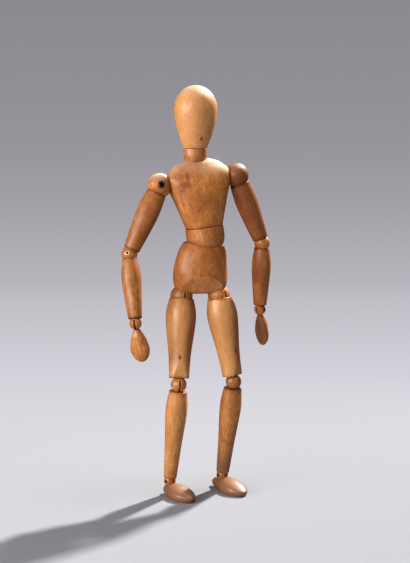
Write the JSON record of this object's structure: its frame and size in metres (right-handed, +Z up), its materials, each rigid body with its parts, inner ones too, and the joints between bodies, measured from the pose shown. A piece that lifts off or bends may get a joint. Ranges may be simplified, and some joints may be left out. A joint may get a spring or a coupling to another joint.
{
  "type": "jointed artist figure",
  "caption": "Wooden jointed figure for drawing practice: turned limbs on split balls with hollow rivets, a blank egg head, standing with one knee turned out.",
  "frame": {"origin": "on the floor under the middle of the figure's box, with both soles on Z = 0", "axes": "+Z up; the pelvis faces -Y; +X to the figure's own left"},
  "size_m": [0.1504, 0.0708, 0.3976],
  "materials": {
    "limb_wood": "satin",
    "joint_wood": "satin",
    "rivet_brass": "satin",
    "tang_steel": "satin"
  },
  "bodies": {
    "pelvis": {"pelvis": "limb_wood"},
    "waist_tang": {"waist_tang": "tang_steel"},
    "waist": {"waist": "joint_wood", "waist_pin": "tang_steel"},
    "chest": {"chest": "limb_wood"},
    "neck_tang": {"neck_tang": "tang_steel"},
    "neck": {"neck": "joint_wood", "neck_pin": "tang_steel"},
    "head": {"head": "limb_wood"},
    "shoulder_ball_right": {"shoulder_ball_right": "joint_wood", "shoulder_rivet_right": "rivet_brass"},
    "shoulder_tang_right": {"shoulder_tang_right": "tang_steel"},
    "upper_arm_right": {"upper_arm_right": "limb_wood"},
    "elbow_ball_right": {"elbow_ball_right": "joint_wood", "elbow_rivet_right": "rivet_brass"},
    "elbow_tang_right": {"elbow_tang_right": "tang_steel"},
    "forearm_right": {"forearm_right": "limb_wood"},
    "wrist_ball_right": {"wrist_ball_right": "joint_wood", "wrist_rivet_right": "rivet_brass"},
    "wrist_tang_right": {"wrist_tang_right": "tang_steel"},
    "hand_right": {"hand_right": "limb_wood"},
    "hip_ball_right": {"hip_ball_right": "joint_wood", "hip_rivet_right": "rivet_brass"},
    "hip_tang_right": {"hip_tang_right": "tang_steel"},
    "thigh_right": {"thigh_right": "limb_wood"},
    "knee_ball_right": {"knee_ball_right": "joint_wood", "knee_rivet_right": "rivet_brass"},
    "knee_tang_right": {"knee_tang_right": "tang_steel"},
    "shin_right": {"shin_right": "limb_wood"},
    "ankle_ball_right": {"ankle_ball_right": "joint_wood", "ankle_rivet_right": "rivet_brass"},
    "ankle_tang_right": {"ankle_tang_right": "tang_steel"},
    "foot_right": {"foot_right": "limb_wood"},
    "shoulder_ball_left": {"shoulder_ball_left": "joint_wood", "shoulder_rivet_left": "rivet_brass"},
    "shoulder_tang_left": {"shoulder_tang_left": "tang_steel"},
    "upper_arm_left": {"upper_arm_left": "limb_wood"},
    "elbow_ball_left": {"elbow_ball_left": "joint_wood", "elbow_rivet_left": "rivet_brass"},
    "elbow_tang_left": {"elbow_tang_left": "tang_steel"},
    "forearm_left": {"forearm_left": "limb_wood"},
    "wrist_ball_left": {"wrist_ball_left": "joint_wood", "wrist_rivet_left": "rivet_brass"},
    "wrist_tang_left": {"wrist_tang_left": "tang_steel"},
    "hand_left": {"hand_left": "limb_wood"},
    "hip_ball_left": {"hip_ball_left": "joint_wood", "hip_rivet_left": "rivet_brass"},
    "hip_tang_left": {"hip_tang_left": "tang_steel"},
    "thigh_left": {"thigh_left": "limb_wood"},
    "knee_ball_left": {"knee_ball_left": "joint_wood", "knee_rivet_left": "rivet_brass"},
    "knee_tang_left": {"knee_tang_left": "tang_steel"},
    "shin_left": {"shin_left": "limb_wood"},
    "ankle_ball_left": {"ankle_ball_left": "joint_wood", "ankle_rivet_left": "rivet_brass"},
    "ankle_tang_left": {"ankle_tang_left": "tang_steel"},
    "foot_left": {"foot_left": "limb_wood"}
  },
  "joints": [
    {"name": "waist_turn", "type": "hinge", "parent": "pelvis", "child": "waist_tang", "pos_m": [0.00802, 0.00549, 0.2528], "axis": [0, 0, 1], "range_deg": [-40, 40]},
    {"name": "waist_bend", "type": "hinge", "parent": "waist_tang", "child": "waist", "pos_m": [0.00802, 0.00549, 0.2528], "axis": [0, 1, 0], "range_deg": [-12, 14]},
    {"name": "chest_turn", "type": "hinge", "parent": "waist", "child": "chest", "pos_m": [0.00802, 0.00549, 0.2528], "axis": [-0.1271, 0, 0.9919], "range_deg": [-60, 60]},
    {"name": "neck_turn", "type": "hinge", "parent": "chest", "child": "neck_tang", "pos_m": [-0.00203, 0.00549, 0.33126], "axis": [-0.1271, 0, 0.9919], "range_deg": [-45, 45]},
    {"name": "neck_bend", "type": "hinge", "parent": "neck_tang", "child": "neck", "pos_m": [-0.00203, 0.00549, 0.33126], "axis": [0, 1, 0], "range_deg": [-28, 12]},
    {"name": "head_turn", "type": "hinge", "parent": "neck", "child": "head", "pos_m": [-0.00203, 0.00549, 0.33126], "axis": [0.014, 0, 0.9999], "continuous": true},
    {"name": "shoulder_turn_right", "type": "hinge", "parent": "chest", "child": "shoulder_ball_right", "pos_m": [-0.03674, 0.00347, 0.30201], "axis": [0.9718, 0.0525, 0.2299], "range_deg": [-150, 60]},
    {"name": "shoulder_bend_right", "type": "hinge", "parent": "shoulder_ball_right", "child": "shoulder_tang_right", "pos_m": [-0.03674, 0.00347, 0.30201], "axis": [0.035, -0.9962, 0.0796], "range_deg": [-126.6, 8.4]},
    {"name": "upper_arm_turn_right", "type": "hinge", "parent": "shoulder_tang_right", "child": "upper_arm_right", "pos_m": [-0.03674, 0.00347, 0.30201], "axis": [0.421, 0.0869, 0.9029], "range_deg": [-90, 90]},
    {"name": "elbow_turn_right", "type": "hinge", "parent": "upper_arm_right", "child": "elbow_ball_right", "pos_m": [-0.06714, -0.00281, 0.23682], "axis": [0.421, 0.0869, 0.9029], "range_deg": [-45, 45]},
    {"name": "elbow_bend_right", "type": "hinge", "parent": "elbow_ball_right", "child": "elbow_tang_right", "pos_m": [-0.06714, -0.00281, 0.23682], "axis": [-0.3565, -0.8994, 0.2529], "range_deg": [-89.9, 30.1]},
    {"name": "forearm_turn_right", "type": "hinge", "parent": "elbow_tang_right", "child": "forearm_right", "pos_m": [-0.06714, -0.00281, 0.23682], "axis": [-0.0501, 0.2887, 0.9561], "range_deg": [-90, 90]},
    {"name": "wrist_turn_right", "type": "hinge", "parent": "forearm_right", "child": "wrist_ball_right", "pos_m": [-0.06378, -0.02215, 0.17276], "axis": [-0.0501, 0.2887, 0.9561], "range_deg": [-90, 90]},
    {"name": "wrist_bend_right", "type": "hinge", "parent": "wrist_ball_right", "child": "wrist_tang_right", "pos_m": [-0.06378, -0.02215, 0.17276], "axis": [0.9423, -0.3036, 0.141], "range_deg": [-68.8, 21.2]},
    {"name": "hand_turn_right", "type": "hinge", "parent": "wrist_tang_right", "child": "hand_right", "pos_m": [-0.06378, -0.02215, 0.17276], "axis": [-0.1796, -0.1028, 0.9784], "range_deg": [-90, 90]},
    {"name": "hip_turn_right", "type": "hinge", "parent": "pelvis", "child": "hip_ball_right", "pos_m": [-0.01558, 0.00549, 0.1948], "axis": [0.1045, 0, 0.9945], "range_deg": [-30, 30]},
    {"name": "hip_bend_right", "type": "hinge", "parent": "hip_ball_right", "child": "hip_tang_right", "pos_m": [-0.01558, 0.00549, 0.1948], "axis": [0.9773, 0.1852, -0.1027], "range_deg": [-30.2, 33.8]},
    {"name": "thigh_turn_right", "type": "hinge", "parent": "hip_tang_right", "child": "thigh_right", "pos_m": [-0.01558, 0.00549, 0.1948], "axis": [0.0646, 0.2014, 0.9774], "range_deg": [-40, 40]},
    {"name": "knee_turn_right", "type": "hinge", "parent": "thigh_right", "child": "knee_ball_right", "pos_m": [-0.0211, -0.01175, 0.11114], "axis": [0.0646, 0.2014, 0.9774], "range_deg": [-30, 30]},
    {"name": "knee_bend_right", "type": "hinge", "parent": "knee_ball_right", "child": "knee_tang_right", "pos_m": [-0.0211, -0.01175, 0.11114], "axis": [0.9968, 0.0323, -0.0725], "range_deg": [-37.9, 42.1]},
    {"name": "shin_turn_right", "type": "hinge", "parent": "knee_tang_right", "child": "shin_right", "pos_m": [-0.0211, -0.01175, 0.11114], "axis": [0.0756, -0.1091, 0.9911], "range_deg": [-40, 40]},
    {"name": "ankle_turn_right", "type": "hinge", "parent": "shin_right", "child": "ankle_ball_right", "pos_m": [-0.02848, -0.00111, 0.0145], "axis": [0.0756, -0.1091, 0.9911], "range_deg": [-30, 30]},
    {"name": "ankle_bend_right", "type": "hinge", "parent": "ankle_ball_right", "child": "ankle_tang_right", "pos_m": [-0.02848, -0.00111, 0.0145], "axis": [-0.8219, -0.5696, 0], "range_deg": [-32.6, 17.4]},
    {"name": "foot_turn_right", "type": "hinge", "parent": "ankle_tang_right", "child": "foot_right", "pos_m": [-0.02848, -0.00111, 0.0145], "axis": [0, 0, 1], "range_deg": [-40, 40]},
    {"name": "shoulder_turn_left", "type": "hinge", "parent": "chest", "child": "shoulder_ball_left", "pos_m": [0.03894, 0.0075, 0.31171], "axis": [-0.9984, -0.0525, -0.0225], "range_deg": [-60, 150]},
    {"name": "shoulder_bend_left", "type": "hinge", "parent": "shoulder_ball_left", "child": "shoulder_tang_left", "pos_m": [0.03894, 0.0075, 0.31171], "axis": [0.0542, -0.9948, -0.0857], "range_deg": [-6.3, 143.7]},
    {"name": "upper_arm_turn_left", "type": "hinge", "parent": "shoulder_tang_left", "child": "upper_arm_left", "pos_m": [0.03894, 0.0075, 0.31171], "axis": [-0.3792, -0.0999, 0.9199], "range_deg": [-90, 90]},
    {"name": "elbow_turn_left", "type": "hinge", "parent": "upper_arm_left", "child": "elbow_ball_left", "pos_m": [0.06631, 0.01472, 0.24529], "axis": [-0.3792, -0.0999, 0.9199], "range_deg": [-45, 45]},
    {"name": "elbow_bend_left", "type": "hinge", "parent": "elbow_ball_left", "child": "elbow_tang_left", "pos_m": [0.06631, 0.01472, 0.24529], "axis": [0.05, -0.9949, -0.0875], "range_deg": [-9.2, 82.8]},
    {"name": "forearm_turn_left", "type": "hinge", "parent": "elbow_tang_left", "child": "forearm_left", "pos_m": [0.06631, 0.01472, 0.24529], "axis": [0.0087, -0.0872, 0.9962], "range_deg": [-90, 90]},
    {"name": "wrist_turn_left", "type": "hinge", "parent": "forearm_left", "child": "wrist_ball_left", "pos_m": [0.06573, 0.02056, 0.17855], "axis": [0.0087, -0.0872, 0.9962], "range_deg": [-90, 90]},
    {"name": "wrist_bend_left", "type": "hinge", "parent": "wrist_ball_left", "child": "wrist_tang_left", "pos_m": [0.06573, 0.02056, 0.17855], "axis": [0.7126, -0.6983, -0.0673], "range_deg": [-55.5, 34.5]},
    {"name": "hand_turn_left", "type": "hinge", "parent": "wrist_tang_left", "child": "hand_left", "pos_m": [0.06573, 0.02056, 0.17855], "axis": [-0.119, -0.2149, 0.9694], "range_deg": [-90, 90]},
    {"name": "hip_turn_left", "type": "hinge", "parent": "pelvis", "child": "hip_ball_left", "pos_m": [0.02142, 0.00549, 0.1948], "axis": [-0.1045, 0, 0.9945], "range_deg": [-30, 30]},
    {"name": "hip_bend_left", "type": "hinge", "parent": "hip_ball_left", "child": "hip_tang_left", "pos_m": [0.02142, 0.00549, 0.1948], "axis": [0.8674, 0.4892, 0.0912], "range_deg": [-36.2, 27.8]},
    {"name": "thigh_turn_left", "type": "hinge", "parent": "hip_tang_left", "child": "thigh_left", "pos_m": [0.02142, 0.00549, 0.1948], "axis": [-0.1534, 0.0885, 0.9842], "range_deg": [-40, 40]},
    {"name": "knee_turn_left", "type": "hinge", "parent": "thigh_left", "child": "knee_ball_left", "pos_m": [0.03455, -0.00209, 0.11055], "axis": [-0.1534, 0.0885, 0.9842], "range_deg": [-30, 30]},
    {"name": "knee_bend_left", "type": "hinge", "parent": "knee_ball_left", "child": "knee_tang_left", "pos_m": [0.03455, -0.00209, 0.11055], "axis": [0.7066, 0.7061, 0.0466], "range_deg": [-39.4, 40.6]},
    {"name": "shin_turn_left", "type": "hinge", "parent": "knee_tang_left", "child": "shin_left", "pos_m": [0.03455, -0.00209, 0.11055], "axis": [0.0844, -0.1495, 0.9852], "range_deg": [-40, 40]},
    {"name": "ankle_turn_left", "type": "hinge", "parent": "shin_left", "child": "ankle_ball_left", "pos_m": [0.02633, 0.01249, 0.0145], "axis": [0.0844, -0.1495, 0.9852], "range_deg": [-30, 30]},
    {"name": "ankle_bend_left", "type": "hinge", "parent": "ankle_ball_left", "child": "ankle_tang_left", "pos_m": [0.02633, 0.01249, 0.0145], "axis": [-0.8708, -0.4916, 0], "range_deg": [-34.9, 15.1]},
    {"name": "foot_turn_left", "type": "hinge", "parent": "ankle_tang_left", "child": "foot_left", "pos_m": [0.02633, 0.01249, 0.0145], "axis": [0, 0, 1], "range_deg": [-40, 40]}
  ]
}
